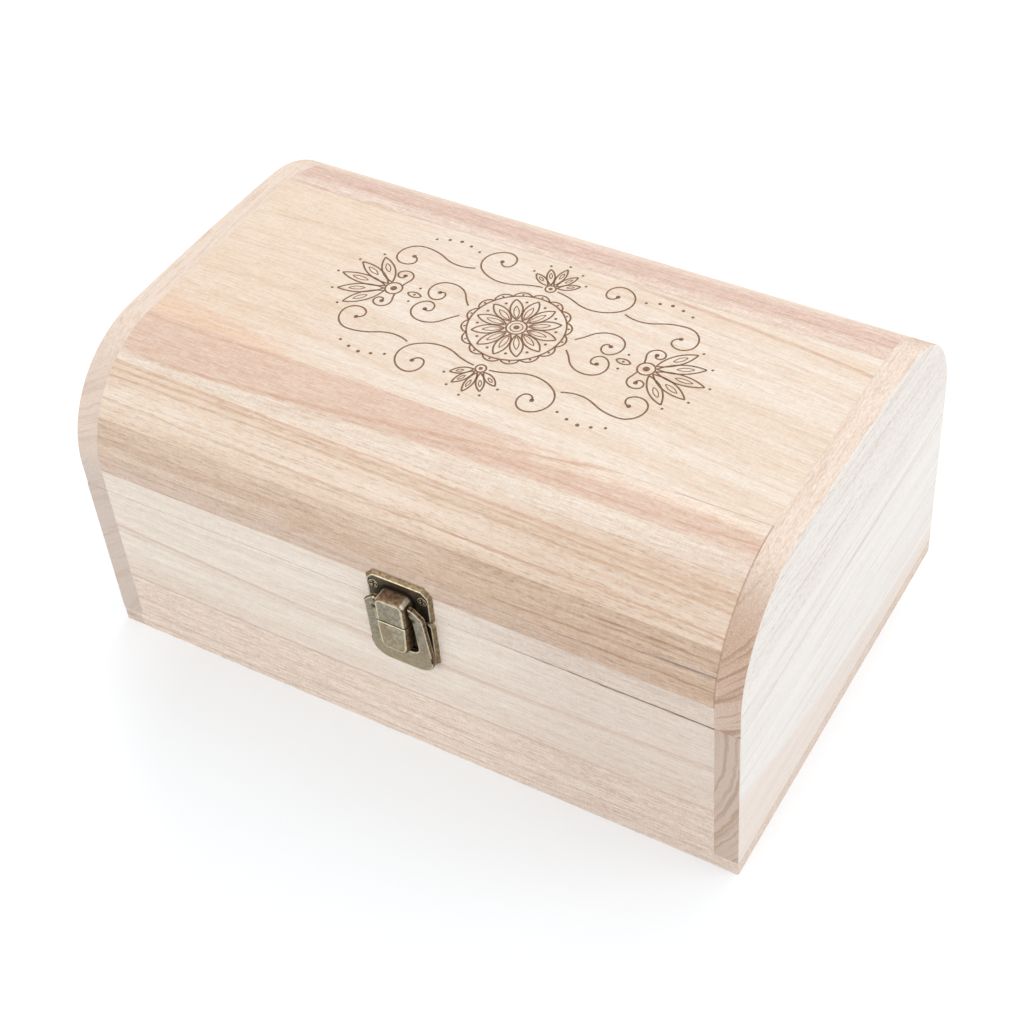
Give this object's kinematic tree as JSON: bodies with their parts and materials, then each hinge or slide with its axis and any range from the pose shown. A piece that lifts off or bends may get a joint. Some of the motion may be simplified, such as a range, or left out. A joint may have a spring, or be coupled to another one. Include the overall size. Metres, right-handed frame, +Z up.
{
  "type": "keepsake box",
  "caption": "Wooden keepsake box with an arched lid of joined boards, stop hinges behind and a bail latch in front, for papers and small keepsakes.",
  "frame": {"origin": "middle of the underside", "axes": "+X along the length, +Z up; the latch is on the -Y face and the hinges on the +Y face"},
  "size_m": [0.3, 0.21, 0.1445],
  "materials": {
    "pale_wood": "bare, finely sanded",
    "streaked_wood": "bare, finely sanded",
    "end_wood": "bare, end grain in sight at the front",
    "antique_brass": "dark antique, worn bright at the edges"
  },
  "bodies": {
    "base": {"bottom_board": "pale_wood", "base_front": "pale_wood", "base_back": "pale_wood", "base_end_left": "end_wood", "base_end_right": "end_wood", "hinge_leaf_base_left": "antique_brass", "hinge_leaf_base_right": "antique_brass", "hinge_pin_left": "antique_brass", "hinge_pin_right": "antique_brass", "hinge_screws_base": "antique_brass", "latch_keeper": "antique_brass", "latch_screws_base": "antique_brass"},
    "lid": {"lid_end_left": "end_wood", "lid_end_right": "end_wood", "lid_rail_front": "pale_wood", "lid_rail_back": "pale_wood", "lid_slat_front_low": "streaked_wood", "lid_slat_front_middle": "streaked_wood", "lid_slat_front_high": "streaked_wood", "lid_slat_back_low": "streaked_wood", "lid_slat_back_middle": "streaked_wood", "lid_slat_back_high": "streaked_wood", "lid_top_board": "pale_wood", "hinge_leaf_lid_left": "antique_brass", "hinge_leaf_lid_right": "antique_brass", "hinge_screws_lid": "antique_brass", "latch_catch": "antique_brass", "latch_nose": "antique_brass", "latch_screws_lid": "antique_brass"},
    "bail": {"latch_bail": "antique_brass"}
  },
  "joints": [
    {"name": "lid_hinge", "type": "hinge", "parent": "base", "child": "lid", "pos_m": [0, 0.1001, 0.083], "axis": [-1, 0, 0], "range_deg": [0, 100]},
    {"name": "bail_hinge", "type": "hinge", "parent": "lid", "child": "bail", "pos_m": [0.006, -0.10375, 0.0893], "axis": [-1, 0, 0], "range_deg": [0, 195]}
  ]
}
